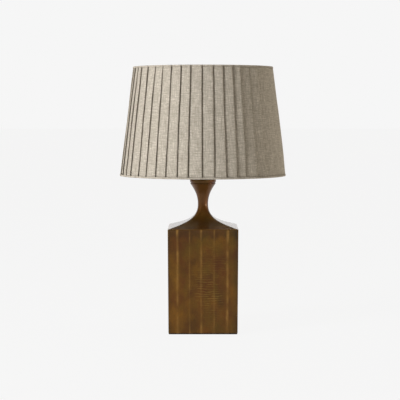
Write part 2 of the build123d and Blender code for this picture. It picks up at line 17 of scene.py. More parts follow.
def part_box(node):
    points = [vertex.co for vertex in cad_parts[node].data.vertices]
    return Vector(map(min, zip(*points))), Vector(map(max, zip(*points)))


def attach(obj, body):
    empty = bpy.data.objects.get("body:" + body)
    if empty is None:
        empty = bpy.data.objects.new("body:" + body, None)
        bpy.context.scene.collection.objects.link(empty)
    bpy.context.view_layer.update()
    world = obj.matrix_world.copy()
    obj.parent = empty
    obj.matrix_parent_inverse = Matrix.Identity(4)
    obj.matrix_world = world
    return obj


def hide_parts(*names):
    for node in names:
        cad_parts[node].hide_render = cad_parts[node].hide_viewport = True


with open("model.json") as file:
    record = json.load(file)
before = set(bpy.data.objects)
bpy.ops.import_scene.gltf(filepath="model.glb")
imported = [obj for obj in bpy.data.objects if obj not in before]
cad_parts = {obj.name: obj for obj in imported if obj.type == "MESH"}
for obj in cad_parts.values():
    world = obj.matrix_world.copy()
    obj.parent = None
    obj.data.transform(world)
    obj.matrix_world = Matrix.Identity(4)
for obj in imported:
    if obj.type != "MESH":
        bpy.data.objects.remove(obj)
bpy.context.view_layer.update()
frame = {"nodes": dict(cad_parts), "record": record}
nodes = frame["nodes"]

MM = 0.001
random.seed(7)

# Pitch of the marks that the cutter's chatter left across the flutes
CHATTER_PITCH = 4.9 * MM


# ---- Object and mesh helpers ----


def add_object(name, data):
    """A new object in the scene."""
    made = bpy.data.objects.new(name, data)
    bpy.context.scene.collection.objects.link(made)
    return made


def make_piece(name, verts, faces, body, material):
    """A closed, smooth piece on a body, with its faces outwards."""
    mesh = bpy.data.meshes.new(name)
    mesh.from_pydata(verts, [], faces)
    work = bmesh.new()
    work.from_mesh(mesh)
    bmesh.ops.recalc_face_normals(work, faces=work.faces)
    work.to_mesh(mesh)
    work.free()
    mesh.shade_smooth()
    mesh.materials.append(material)
    piece = add_object(name, mesh)
    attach(piece, body)
    return piece


def crease(mesh, degrees):
    """Marks the edges sharper than an angle, so that smooth shading stops at them."""
    mesh.shade_smooth()
    mesh.set_sharp_from_angle(angle=math.radians(degrees))


def grid_faces(rows, columns, close_rows):
    """Quads of a grid of rows of points, where every row closes on itself."""
    faces = []
    last = rows if close_rows else rows - 1
    for row in range(last):
        above = (row + 1) % rows
        for column in range(columns):
            right = (column + 1) % columns
            faces.append(
                (
                    row * columns + column,
                    row * columns + right,
                    above * columns + right,
                    above * columns + column,
                )
            )
    return faces


def turned(name, profile, body, material, steps=96, wobble=0.0, pitch=1.0):
    """A closed profile turned about the lamp's axis, with its corners kept sharp.

    The profile's points are (radius, height) or (radius, height, depth of the thread).
    """
    verts = []
    for radius, height, *threads in profile:
        depth = sum(threads)
        for step in range(steps):
            angle = 2 * math.pi * step / steps
            way = Vector((math.cos(angle), math.sin(angle), 0))
            reach = radius + wobble * waver(*(way * 4).xy, height * 200)
            reach -= depth * (0.5 - 0.5 * math.cos(2 * math.pi * height / pitch - angle))
            verts.append((*(way * reach).xy, height))
    piece = make_piece(name, verts, grid_faces(len(profile), steps, True), body, material)
    crease(piece.data, 50)
    return piece


def arc(centre, radius, start, end, steps):
    """Points of a round stretch of a profile, in degrees from the first axis."""
    points = []
    for step in range(steps + 1):
        angle = math.radians(start + (end - start) * step / steps)
        points.append((centre[0] + radius * math.cos(angle), centre[1] + radius * math.sin(angle)))
    return points


def waver(*place):
    """Smooth noise about zero at a place."""
    return noise.noise(Vector(place))


def bezier(points, share):
    """Point of a cubic curve at a share of its way."""
    a, b, c, d = points
    left = 1 - share
    weights = (left**3, 3 * left**2 * share, 3 * left * share**2, share**3)
    return tuple(sum(w * p[k] for w, p in zip(weights, (a, b, c, d))) for k in range(2))


def set_attribute(mesh, name, kind, values):
    """Keeps a value for each point of the mesh, for the material to read."""
    layer = mesh.attributes.new(name, kind, "POINT")
    layer.data.foreach_set("vector" if kind == "FLOAT_VECTOR" else "value", values)


# ---- Camera ----

CAMERA_PLACE = Vector((-0.0063, -2.860, 0.4656))
CAMERA_TILT = math.radians(3.824)
CAMERA_LENS = 122.1

camera_data = bpy.data.cameras.new("camera")
camera_data.lens = CAMERA_LENS
camera_data.sensor_width = 36
camera = add_object("camera", camera_data)
camera.location = CAMERA_PLACE
camera.rotation_euler = (math.pi / 2 - CAMERA_TILT, 0, 0)
bpy.context.scene.camera = camera


# ---- Material helpers ----

# Numbers of the sockets that a mixing node uses for colours
MIX_SHARE, MIX_FIRST, MIX_SECOND, MIX_RESULT = 0, 6, 7, 2


class Nodes:
    """A node tree, with short calls for the nodes that the looks share."""

    def __init__(self, tree):
        self.tree = tree

    def node(self, kind, inputs=None, **settings):
        """A new node; an input is given by name or number, as a value or as another output."""
        made = self.tree.nodes.new(kind)
        for setting, value in settings.items():
            setattr(made, setting, value)
        for socket, value in (inputs or {}).items():
            if isinstance(value, bpy.types.NodeSocket):
                self.tree.links.new(value, made.inputs[socket])
            else:
                made.inputs[socket].default_value = value
        return made

    def place(self, attribute=None):
        """Coordinates in metres: the object's own, or an attribute of the mesh."""
        if attribute:
            return self.node("ShaderNodeAttribute", attribute_name=attribute).outputs["Vector"]
        return self.node("ShaderNodeTexCoord").outputs["Object"]

    def value(self, attribute):
        """A number kept on the mesh."""
        return self.node("ShaderNodeAttribute", attribute_name=attribute).outputs["Fac"]

    def stretched(self, place, scale):
        """Coordinates scaled differently along each axis."""
        return self.node("ShaderNodeMapping", {"Vector": place, "Scale": scale}).outputs[0]

    def noise(self, place, scale, detail=2.0, rough=0.5, low=0.0, high=1.0):
        """Soft noise in cells of 1/scale metres, spread from low to high."""
        made = self.node(
            "ShaderNodeTexNoise",
            {"Vector": place, "Scale": scale, "Detail": detail, "Roughness": rough},
        )
        return self.spread(made.outputs["Fac"], 0.25, 0.75, low, high)

    def spread(self, value, from_low, from_high, low, high):
        """A number's range moved to another one, without going past its ends."""
        inputs = {"Value": value, "From Min": from_low, "From Max": from_high}
        inputs.update({"To Min": low, "To Max": high})
        return self.node("ShaderNodeMapRange", inputs).outputs["Result"]

    def maths(self, operation, first, second=0.0):
        """One sum on two numbers."""
        return self.node("ShaderNodeMath", {0: first, 1: second}, operation=operation).outputs[0]

    def mix(self, share, first, second, blend="MIX"):
        """Two colours mixed by a share."""
        inputs = {MIX_SHARE: share}
        for socket, colour in ((MIX_FIRST, first), (MIX_SECOND, second)):
            inputs[socket] = colour if isinstance(colour, bpy.types.NodeSocket) else (*colour, 1)
        made = self.node("ShaderNodeMix", inputs, data_type="RGBA", blend_type=blend)
        return made.outputs[MIX_RESULT]


class Finish(Nodes):
    """A material with one shader."""

    def __init__(self, name, colour, roughness, metallic=0.0, **constants):
        self.material = bpy.data.materials.new(name)
        self.material.use_nodes = True
        super().__init__(self.material.node_tree)
        self.shader = self.tree.nodes["Principled BSDF"]
        self.shader.inputs["Base Color"].default_value = (*colour, 1)
        self.shader.inputs["Roughness"].default_value = roughness
        self.shader.inputs["Metallic"].default_value = metallic
        for socket, value in constants.items():
            self.shader.inputs[socket.replace("_", " ")].default_value = value

    def finish(self, colour=None, roughness=None, height=None, depth=0.0001, strength=1.0):
        """Joins the colour, the roughness and the height of the surface to the shader."""
        if colour is not None:
            self.tree.links.new(colour, self.shader.inputs["Base Color"])
        if roughness is not None:
            self.tree.links.new(roughness, self.shader.inputs["Roughness"])
        if height is not None:
            inputs = {"Height": height, "Distance": depth, "Strength": strength}
            bump = self.node("ShaderNodeBump", inputs)
            self.tree.links.new(bump.outputs[0], self.shader.inputs["Normal"])
        return self.material


def srgb(red, green, blue):
    """A colour written as a screen shows it, from 0 to 255, as the shader's linear numbers."""
    return tuple(
        v / 255 / 12.92 if v / 255 <= 0.04045 else ((v / 255 + 0.055) / 1.055) ** 2.4
        for v in (red, green, blue)
    )


# ---- Materials ----


PATINA_DARK = srgb(74, 45, 9)
PATINA_LIGHT = srgb(142, 97, 20)
PATINA_RED = srgb(98, 51, 12)
PATINA_OLIVE = srgb(100, 75, 12)
PATINA_PORES = srgb(50, 33, 10)
# Colour of the painted shade on the column
PAINTED_SHADE_BROWN = srgb(48, 35, 14)
NECK_BROWN = srgb(106, 64, 22)
TOOLED_GOLD = srgb(150, 114, 52)
WORN_GOLD = srgb(160, 119, 56)
# The neck is browner than the shaft; the change lies between these heights
NECK_BROWN_FROM = 238 * MM
NECK_BROWN_TO = 262 * MM


def waxed_bronze(name):
    """The ground of every bronze: a dull, half metallic patina under a clear wax."""
    wax = {"Coat_Weight": 1.0, "Coat_Roughness": 0.2, "Coat_IOR": 1.2}
    return Finish(name, PATINA_LIGHT, 0.45, metallic=0.5, Specular_IOR_Level=0.25, **wax)


def patina(made, place):
    """Brown in soft patches, reddish and olive in places, with dark pores: colour and pores."""
    patches = made.noise(place, 24, detail=4, rough=0.55)
    colour = made.mix(patches, PATINA_DARK, PATINA_LIGHT)
    red = made.noise(made.stretched(place, (1, 1, 0.6)), 31, detail=3, low=-0.35, high=0.95)
    colour = made.mix(red, colour, PATINA_RED)
    olive = made.noise(made.stretched(place, (1.3, 1.3, 0.8)), 27, detail=3, low=-0.6, high=0.75)
    colour = made.mix(olive, colour, PATINA_OLIVE)
    pores = made.noise(place, 420, detail=3, rough=0.6)
    return made.mix(made.spread(pores, 0, 1, 0.0, 0.32), colour, PATINA_PORES), pores


def chatter_streaks(made):
    """Broken level streaks that the cutter left across the flutes."""
    place = made.place("face_place")
    height = made.node("ShaderNodeSeparateXYZ", {0: place}).outputs["Y"]
    uneven = made.noise(made.stretched(place, (40, 90, 1)), 1.0, low=-2.2, high=2.2)
    turns = made.maths("MULTIPLY", height, 2 * math.pi / CHATTER_PITCH)
    ridges = made.maths("SINE", made.maths("ADD", turns, uneven))
    broken = made.noise(made.stretched(place, (90, 260, 1)), 1.0, detail=2)
    streaks = made.maths("MULTIPLY", made.spread(ridges, 0.1, 1.0, 0.0, 1.0), broken)
    return made.maths("MULTIPLY", streaks, made.value("chatter"))


def finish_bronze(made, place, colour, height):
    """Joins the colour and the surface of a bronze, with its uneven gloss."""
    gloss = made.noise(place, 60, detail=3, low=0.38, high=0.55)
    return made.finish(colour, gloss, height, depth=0.12 * MM, strength=0.6)


def bronze(name):
    """Aged bronze under wax."""
    made = waxed_bronze(name)
    place = made.place()
    colour, pores = patina(made, place)
    return finish_bronze(made, place, colour, pores)


def cast_bronze(name):
    """The column's bronze: tooled, with painted shade under the eave, at the corners and on the roof, and
    rubbed to gold along its arrises.
    """
    made = waxed_bronze(name)
    place = made.place()
    colour, pores = patina(made, place)
    level = made.node("ShaderNodeSeparateXYZ", {0: place}).outputs["Z"]
    neck = made.spread(level, NECK_BROWN_FROM, NECK_BROWN_TO, 0, 0.7)
    colour = made.mix(neck, colour, NECK_BROWN)
    streaks = chatter_streaks(made)
    colour = made.mix(made.spread(streaks, 0.1, 0.8, 0.0, 0.7), colour, TOOLED_GOLD)
    # Painted shade: the skin's value darkens the patina under the eave, at the corners and on the roof
    colour = made.mix(made.value("dusk"), colour, PAINTED_SHADE_BROWN)
    rubbed = made.noise(place, 130, detail=3, low=0.35, high=1.0)
    worn = made.maths("MULTIPLY", made.value("wear"), rubbed)
    colour = made.mix(worn, colour, WORN_GOLD)
    height = made.maths("ADD", pores, made.maths("MULTIPLY", streaks, 1.5))
    return finish_bronze(made, place, colour, height)


THREAD_SPACING = 1.3 * MM
# Colour of the painted shade in the pleats' creases
CREASE_SHADE_COLOUR = srgb(80, 68, 50)


def linen(name, light, dark):
    """Natural linen: plain weave of uneven threads with slubs both ways, and painted shade in its creases.
    """
    made = Finish(name, light, 0.92, Sheen_Weight=0.1, Sheen_Roughness=0.5, Specular_IOR_Level=0.2)
    place = made.place("cloth_place")
    ways = made.node("ShaderNodeSeparateXYZ", {0: place}).outputs
    bent = made.noise(place, 260, detail=2, low=-1.6, high=1.6)
    waves = []
    for way in ("X", "Y"):
        turns = made.maths("MULTIPLY", ways[way], 2 * math.pi / THREAD_SPACING)
        waves.append(made.maths("SINE", made.maths("ADD", turns, bent)))
    weave = made.spread(made.maths("MULTIPLY", *waves), -1, 1, 0, 1)
    slub_up = made.noise(made.stretched(place, (520, 42, 1)), 1.0, detail=3, rough=0.6)
    slub_across = made.noise(made.stretched(place, (60, 480, 1)), 1.0, detail=3, rough=0.6)
    flecks = made.noise(place, 330, detail=3, rough=0.65)
    fuzz = made.noise(place, 1500, detail=2)
    colour = made.mix(made.spread(slub_up, 0.2, 0.8, 0.0, 0.6), light, dark)
    colour = made.mix(made.spread(slub_across, 0.2, 0.8, 0.0, 0.6), colour, dark)
    colour = made.mix(made.spread(flecks, 0.35, 0.75, 0.0, 0.38), colour, dark)
    colour = made.mix(made.spread(weave, 0, 1, 0.12, 0.0), colour, dark)
    # Painted shade in the creases under and beside each fold
    colour = made.mix(made.maths("MULTIPLY", made.value("crease_shade"), 0.52), colour, CREASE_SHADE_COLOUR)
    slubs = made.maths("ADD", slub_up, made.maths("ADD", slub_across, flecks))
    height = made.maths("ADD", weave, made.maths("ADD", slubs, made.maths("MULTIPLY", fuzz, 0.5)))
    gloss = made.spread(fuzz, 0, 1, 0.85, 0.97)
    return made.finish(colour, gloss, height, depth=0.2 * MM, strength=0.55)


def cotton(name):
    """Fine off-white lining cloth."""
    made = Finish(name, srgb(226, 220, 206), 0.9, Sheen_Weight=0.08)
    place = made.place()
    threads = made.noise(made.stretched(place, (2600, 2600, 700)), 1.0, detail=2)
    clouds = made.noise(place, 12, detail=2)
    colour = made.mix(made.spread(threads, 0, 1, 0.0, 0.35), srgb(230, 224, 211), srgb(206, 198, 181))
    colour = made.mix(made.spread(clouds, 0, 1, 0.0, 0.2), colour, srgb(214, 204, 184))
    return made.finish(colour, made.spread(threads, 0, 1, 0.84, 0.95), threads, depth=0.08 * MM)


def felt_cloth(name):
    """Dark wool felt: matted short fibres."""
    made = Finish(name, srgb(44, 37, 30), 0.95)
    place = made.place()
    fibres = made.noise(place, 1400, detail=5, rough=0.75)
    flecks = made.noise(place, 300, detail=3)
    colour = made.mix(fibres, srgb(30, 25, 20), srgb(60, 50, 40))
    colour = made.mix(made.spread(flecks, 0.6, 1, 0.0, 0.35), colour, srgb(76, 65, 52))
    return made.finish(colour, made.spread(fibres, 0, 1, 0.9, 1.0), fibres, depth=0.4 * MM)


def metal(name, light, dark, roughness, grain=(900, 900, 60), depth=0.03 * MM, metallic=1.0, pitch=0):
    """Worked metal: fine tool lines, cloudy tarnish and uneven gloss. A pitch gives it a thread, with
    painted shade in its grooves.
    """
    made = Finish(name, light, roughness, metallic=metallic)
    place = made.place()
    lines = made.noise(made.stretched(place, grain), 1.0, detail=2)
    tarnish = made.noise(place, 70, detail=4, rough=0.6)
    colour = made.mix(made.spread(tarnish, 0, 1, 0.0, 0.7), light, dark)
    colour = made.mix(made.spread(lines, 0, 1, 0.0, 0.2), colour, dark)
    height = lines
    if pitch:
        ways = made.node("ShaderNodeSeparateXYZ", {0: place}).outputs
        around = made.maths("ARCTAN2", ways["Y"], ways["X"])
        climb = made.maths("MULTIPLY", ways["Z"], 2 * math.pi / pitch)
        ridges = made.maths("SINE", made.maths("SUBTRACT", climb, around))
        # Painted shade in the thread's grooves
        colour = made.mix(made.spread(ridges, -1, 0.2, 0.55, 0.0), colour, dark)
        height = made.maths("ADD", made.maths("MULTIPLY", lines, 0.1), ridges)
        depth = 0.25 * MM
    gloss = made.spread(tarnish, 0, 1, roughness - 0.08, roughness + 0.1)
    return made.finish(colour, gloss, height, depth=depth)


def moulded(name, light, dark, roughness, depth=0.02 * MM):
    """Moulded or coated surface: slight orange peel and a thin bloom of dust."""
    made = Finish(name, light, roughness)
    place = made.place()
    peel = made.noise(place, 900, detail=2)
    bloom = made.noise(place, 45, detail=4, rough=0.6)
    colour = made.mix(made.spread(bloom, 0, 1, 0.0, 0.6), light, dark)
    gloss = made.spread(bloom, 0, 1, roughness - 0.06, roughness + 0.1)
    return made.finish(colour, gloss, peel, depth=depth)


def hardboard(name):
    """Pressed fibre board: matted brown fibres."""
    made = Finish(name, srgb(140, 106, 74), 0.8)
    place = made.place()
    fibres = made.noise(made.stretched(place, (900, 300, 900)), 1.0, detail=5, rough=0.7)
    clouds = made.noise(place, 40, detail=3)
    colour = made.mix(fibres, srgb(112, 80, 52), srgb(158, 124, 88))
    colour = made.mix(made.spread(clouds, 0, 1, 0.0, 0.3), colour, srgb(98, 70, 46))
    return made.finish(colour, made.spread(fibres, 0, 1, 0.72, 0.88), fibres, depth=0.1 * MM)


# Light, dark and roughness of the metals that several pieces share
STEEL = (srgb(196, 198, 200), srgb(146, 146, 142), 0.38)
BRASS = (srgb(186, 152, 92), srgb(124, 94, 50), 0.36)
NICKEL = (srgb(206, 202, 194), srgb(160, 152, 140), 0.3)
IRON = (srgb(74, 74, 74), srgb(42, 40, 38), 0.7)
SOLDER = (srgb(176, 176, 172), srgb(128, 126, 122), 0.5)
AS_CAST = (160, 160, 160)
SMEARED = (300, 300, 300)
BULB_PITCH = 3.63 * MM
ROD_PITCH = 1.0 * MM

finishes = {
    "aged_bronze": bronze("aged_bronze"),
    "zinc_steel": metal("zinc_steel", *STEEL),
    "grey_iron": metal("grey_iron", *IRON, grain=AS_CAST, depth=0.2 * MM, metallic=0.6),
    "fibre_board": hardboard("fibre_board"),
    "dark_felt": felt_cloth("dark_felt"),
    "black_rubber": moulded("black_rubber", srgb(34, 34, 34), srgb(52, 50, 48), 0.6),
    "lamp_brass": metal("lamp_brass", *BRASS),
    "black_moulding": moulded("black_moulding", srgb(30, 29, 28), srgb(46, 44, 42), 0.35),
    "spring_bronze": metal("spring_bronze", srgb(212, 158, 104), srgb(150, 96, 54), 0.3),
    "solder_tip": metal("solder_tip", *SOLDER, grain=SMEARED),
    "black_glass": moulded("black_glass", srgb(36, 32, 34), srgb(50, 44, 46), 0.16),
    "white_plastic": moulded("white_plastic", srgb(236, 235, 230), srgb(222, 219, 210), 0.4),
    "opal_plastic": moulded("opal_plastic", srgb(240, 239, 234), srgb(230, 228, 220), 0.5),
    "white_wire": moulded("white_wire", srgb(226, 223, 214), srgb(204, 199, 186), 0.4, 0.04 * MM),
    "lining_cloth": cotton("lining_cloth"),
}
threaded = {
    "threaded_rod": metal("threaded_steel", *STEEL, pitch=ROD_PITCH),
    "screw_shell": metal("shell_brass", *BRASS, pitch=BULB_PITCH),
    "bulb_screw_cap": metal("threaded_nickel", *NICKEL, pitch=BULB_PITCH),
}
fluted_bronze = cast_bronze("fluted_bronze")
pleated_linen = linen("pleated_linen", srgb(229, 221, 208), srgb(146, 137, 122))
binding_linen = linen("binding_linen", srgb(225, 217, 204), srgb(152, 142, 127))

for part in frame["record"]["subparts"]:
    material = threaded.get(part["node"]) or finishes.get(part["material_slot"])
    if material:
        mesh = nodes[part["node"]].data
        mesh.materials.clear()
        mesh.materials.append(material)
        crease(mesh, 32)


# ---- Column: fluted shaft, coved roof, round neck and flare, in one skin ----

# Widths of the flutes on each side, from left to right
FLUTE_WIDTHS = (18.4 * MM, 25.0 * MM, 24.2 * MM, 27.0 * MM, 28.0 * MM, 20.4 * MM)
FLUTE_DEPTH = 0.9 * MM
# How strongly and widely each arris is rubbed, from the left corner to the right one
ARRIS_WEAR = (0.15, 1.0, 0.45, 0.75, 0.5, 1.0, 0.15)
ARRIS_SPREAD = (1.0 * MM, 2.0 * MM, 1.1 * MM, 1.6 * MM, 1.2 * MM, 2.2 * MM, 1.0 * MM)
# Where each side shows the cutter's chatter: across, height, reach across and reach up
CHATTER_SPOTS = (
    (14 * MM, 103 * MM, 40 * MM, 78 * MM),
    (-20 * MM, 130 * MM, 30 * MM, 50 * MM),
    (12 * MM, 60 * MM, 36 * MM, 44 * MM),
    (-8 * MM, 100 * MM, 40 * MM, 60 * MM),
)
CHATTER_DEPTH = 0.06 * MM
# The flutes run out over this height under the eave's plain band
RUN_OUT = 1.6 * MM
# Painted shadow under the eave: how far down it reaches, how soft its edge is and how dark it is
EAVE_SHADOW_HEIGHT = 24 * MM
EAVE_SHADOW_FADE = 9 * MM
EAVE_SHADOW_DARK = 0.42
# Painted shade at a side's left and right corner: how dark it is, and how far in
LEFT_SHADE_DARK, LEFT_REACH = 0.35, 4 * MM
RIGHT_SHADE_DARK, RIGHT_REACH = 0.62, 8 * MM
CORNER_ROUND = 1.6 * MM
SHAFT_SPREAD = 2.7 * MM
COLUMN_WALL = 4.9 * MM
SEAT_LEDGE = 1.6 * MM
FOOT_LEVEL = 2.0 * MM
# The foot's edge is eased by this much over this height, and the felt ends with it
FOOT_EASE = 0.4 * MM
FOOT_EASE_RISE = 0.6 * MM
WEIGHT_TOP = 20.0 * MM
EAVE_LEVEL = 217.8 * MM
EAVE_BAND = 1.8 * MM
NECK_LEVEL = EAVE_LEVEL + 48.5 * MM
FLARE_TOP = NECK_LEVEL + 42.7 * MM
NECK_RADIUS = 10.8 * MM
FLARE_RADIUS = 26.4 * MM
BORE_RADIUS = 6.2 * MM
SPIGOT_RADIUS = 18.2 * MM
SPIGOT_DEPTH = 6.2 * MM
# Under the roof the hollow narrows to this share, and higher up to the rod's bore
HOLLOW_SHARE = 0.45
HOLLOW_RISE = 16 * MM
BORE_RISE = 26 * MM
ROOF_SLOPE = math.radians(16.8)
ROOF_PULL = 39.3 * MM
NECK_PULL_BELOW = 30.6 * MM
NECK_PULL_ABOVE = 17.8 * MM
FLARE_SLOPE = math.radians(55)
FLARE_PULL = 15.5 * MM

EAVE_HALF = sum(FLUTE_WIDTHS) / 2 + CORNER_ROUND
FLUTE_STEPS = 14
CORNER_STEPS = 6
SHAFT_STEPS = 190
ROOF_STEPS = 46
FLARE_STEPS = 26

# The roof is rubbed at the eave and has a band of painted shade a little higher; the flare is rubbed near
# its lip and has a trace of painted shade
EAVE_WEAR = 0.8
ROOF_WEAR, ROOF_WEAR_REACH = 0.4, 1.5 * MM
ROOF_SHADE_DARK, ROOF_SHADE_RISE, ROOF_SHADE_REACH = 0.5, 12 * MM, 13 * MM
FLARE_WEAR, FLARE_SHADE_DARK = 0.16, 0.03

ROOF_CURVE = (
    (EAVE_HALF, EAVE_LEVEL),
    (EAVE_HALF - ROOF_PULL * math.cos(ROOF_SLOPE), EAVE_LEVEL + ROOF_PULL * math.sin(ROOF_SLOPE)),
    (NECK_RADIUS, NECK_LEVEL - NECK_PULL_BELOW),
    (NECK_RADIUS, NECK_LEVEL),
)
FLARE_CURVE = (
    (NECK_RADIUS, NECK_LEVEL),
    (NECK_RADIUS, NECK_LEVEL + NECK_PULL_ABOVE),
    (
        FLARE_RADIUS - FLARE_PULL * math.cos(FLARE_SLOPE),
        FLARE_TOP - FLARE_PULL * math.sin(FLARE_SLOPE),
    ),
    (FLARE_RADIUS, FLARE_TOP),
)


# Where plain surfaces, which have no chatter, lie in its noise
PLAIN_SHIFT = 0.3
PLAIN_SIDE = 9.0

# A point of the column's skin, its place on its face, and how worn, how darkened by painted shade and how
# chattered it is
Spot = namedtuple("Spot", "point place wear dusk chatter")


def shaft_half(height):
    """Half the shaft's width at a height."""
    share = (height - FOOT_LEVEL) / (EAVE_LEVEL - FOOT_LEVEL)
    return EAVE_HALF - SHAFT_SPREAD / 2 * (1 - share)


def turned_about(point, angle):
    """A point turned about the lamp's axis."""
    cos, sin = math.cos(angle), math.sin(angle)
    return Vector((point.x * cos - point.y * sin, point.x * sin + point.y * cos, point.z))


def flute_edges(side, height, half):
    """The arrises of a side at a height; each wanders a little from its straight line."""
    edges = [CORNER_ROUND - half]
    scale = (half - CORNER_ROUND) / (EAVE_HALF - CORNER_ROUND)
    for width in FLUTE_WIDTHS:
        edges.append(edges[-1] + width * scale)
    for count in range(1, len(FLUTE_WIDTHS)):
        start = side * 5.3 + count * 1.7
        slow, quick = waver(start, height * 14, 0), waver(start, height * 90, 3)
        edges[count] += 0.7 * MM * slow + 0.25 * MM * quick
    return edges


def chatter_at(side, across, height):
    """How strongly the cutter chattered at a spot of a side."""
    spot_across, spot_height, reach_across, reach_up = CHATTER_SPOTS[side]
    off = ((across - spot_across) / reach_across) ** 2 + ((height - spot_height) / reach_up) ** 2
    return math.exp(-off) * (0.7 + 0.9 * waver(across * 22, height * 16, side * 4.0))


def wear_at(side, arris, distance, height):
    """How far the patina is rubbed off at a distance from an arris."""
    rubbed = 0.75 + 1.3 * waver(arris * 3.3 + side, height * 44, 6)
    return ARRIS_WEAR[arris] * math.exp(-((distance / ARRIS_SPREAD[arris]) ** 2)) * rubbed


def painted_shade_at(across, height, half, bowl):
    """How dark the painted shade is: a painted shadow under the eave, and painted shade towards the
    corners.
    """
    eave_shadow_level = EAVE_LEVEL - EAVE_SHADOW_HEIGHT + EAVE_SHADOW_FADE * (bowl - 0.5)
    dusk = EAVE_SHADOW_DARK * min(1.0, max(0.0, (height - eave_shadow_level) / EAVE_SHADOW_FADE))
    dusk += RIGHT_SHADE_DARK * math.exp(-(((half - across) / RIGHT_REACH) ** 2))
    dusk += LEFT_SHADE_DARK * math.exp(-(((half + across) / LEFT_REACH) ** 2))
    return dusk


def fluted_side(side, height, half):
    """One fluted side at a height, facing the front."""
    run_out = min(1.0, max(0.0, (EAVE_LEVEL - EAVE_BAND - height) / RUN_OUT)) ** 0.5
    ridge = math.cos(2 * math.pi * height / CHATTER_PITCH)
    edges = flute_edges(side, height, half)
    spots = []
    for count, (left, right) in enumerate(zip(edges, edges[1:])):
        drift = waver(side * 3.1 + count * 2.3, height * 9, 1)
        depth = FLUTE_DEPTH * run_out * (1 + 0.2 * drift)
        for step in range(FLUTE_STEPS):
            share = step / FLUTE_STEPS
            across = left + (right - left) * share
            bowl = 4 * share * (1 - share)
            chatter = chatter_at(side, across, height)
            inset = depth * bowl - CHATTER_DEPTH * chatter * ridge * run_out * min(1.0, bowl * 2)
            arris = count if share < 0.5 else count + 1
            wear = wear_at(side, arris, min(across - left, right - across), height)
            # Painted shadow under the eave and painted shade towards the corners
            dusk = painted_shade_at(across, height, half, bowl)
            point = Vector((across, inset - half, height))
            spots.append(Spot(point, (across, height, side), wear, dusk, chatter))
    return spots


def round_corner(side, height, half):
    """The rounded corner on the right of a side at a height."""
    centre = half - CORNER_ROUND
    wear = 0.1 + 0.6 * waver(side * 7.1, height * 30, 2)
    spots = []
    for step in range(CORNER_STEPS):
        angle = math.pi / 2 * (step / CORNER_STEPS - 1)
        across = centre + CORNER_ROUND * math.cos(angle)
        point = Vector((across, CORNER_ROUND * math.sin(angle) - centre, height))
        # The rounded corner carries a fixed share of painted shade
        spots.append(Spot(point, (centre, height, side), wear, 0.6, 0.0))
    return spots


def shaft_ring(height):
    """One ring of the fluted shaft, side after side."""
    half = shaft_half(height)
    ring = []
    for side in range(4):
        for spot in fluted_side(side, height, half) + round_corner(side, height, half):
            ring.append(spot._replace(point=turned_about(spot.point, math.pi / 2 * side)))
    return ring


def square_reach(angle, half, corner):
    """How far a rounded square reaches from its middle in a direction."""
    folded = abs((angle + math.pi / 4) % (math.pi / 2) - math.pi / 4)
    cos, sin = math.cos(folded), math.sin(folded)
    if sin / cos * half <= half - corner:
        return half / cos
    centre = half - corner
    along = centre * (cos + sin)
    return along + math.sqrt(max(0.0, along**2 - (2 * centre**2 - corner**2)))


# A plain ring carries half the painted shade unless it is given another share
def plain_ring(angles, half, corner, height, wear=0.0, dusk=0.5):
    """One ring of a rounded square or a circle, at the same directions as the shaft's points."""
    ring = []
    for angle in angles:
        reach = square_reach(angle, half, corner)
        point = Vector((reach * math.cos(angle), reach * math.sin(angle), height))
        folded = (angle + math.pi / 4) % (math.pi / 2) - math.pi / 4
        place = (reach * math.sin(folded), height + PLAIN_SHIFT, PLAIN_SIDE)
        ring.append(Spot(point, place, wear, dusk, 0.0))
    return ring


def roof_corner(half):
    """Corner radius of a roof section: crisp hips at the eave, nearly a circle at the neck."""
    return 0.98 * NECK_RADIUS**2 / half


def inside_rings(angles):
    """The casting's inside, from the counterbore in the flare down to the foot's seat."""
    seat = shaft_half(FOOT_LEVEL) - COLUMN_WALL + SEAT_LEDGE
    hollow_low = shaft_half(WEIGHT_TOP) - COLUMN_WALL
    hollow_high = shaft_half(EAVE_LEVEL) - COLUMN_WALL
    under_roof = EAVE_LEVEL - COLUMN_WALL
    round_levels = (
        (SPIGOT_RADIUS, FLARE_TOP),
        (SPIGOT_RADIUS, FLARE_TOP - SPIGOT_DEPTH),
        (BORE_RADIUS, FLARE_TOP - SPIGOT_DEPTH),
        (BORE_RADIUS, under_roof + BORE_RISE),
    )
    square_levels = (
        (hollow_high, under_roof),
        (hollow_low, WEIGHT_TOP),
        (seat, WEIGHT_TOP),
        (seat, FOOT_LEVEL),
    )
    rings = [plain_ring(angles, radius, radius, height) for radius, height in round_levels]
    narrow = hollow_high * HOLLOW_SHARE
    rings.append(plain_ring(angles, narrow, CORNER_ROUND * 2, under_roof + HOLLOW_RISE))
    rings += [plain_ring(angles, half, CORNER_ROUND, height) for half, height in square_levels]
    return rings


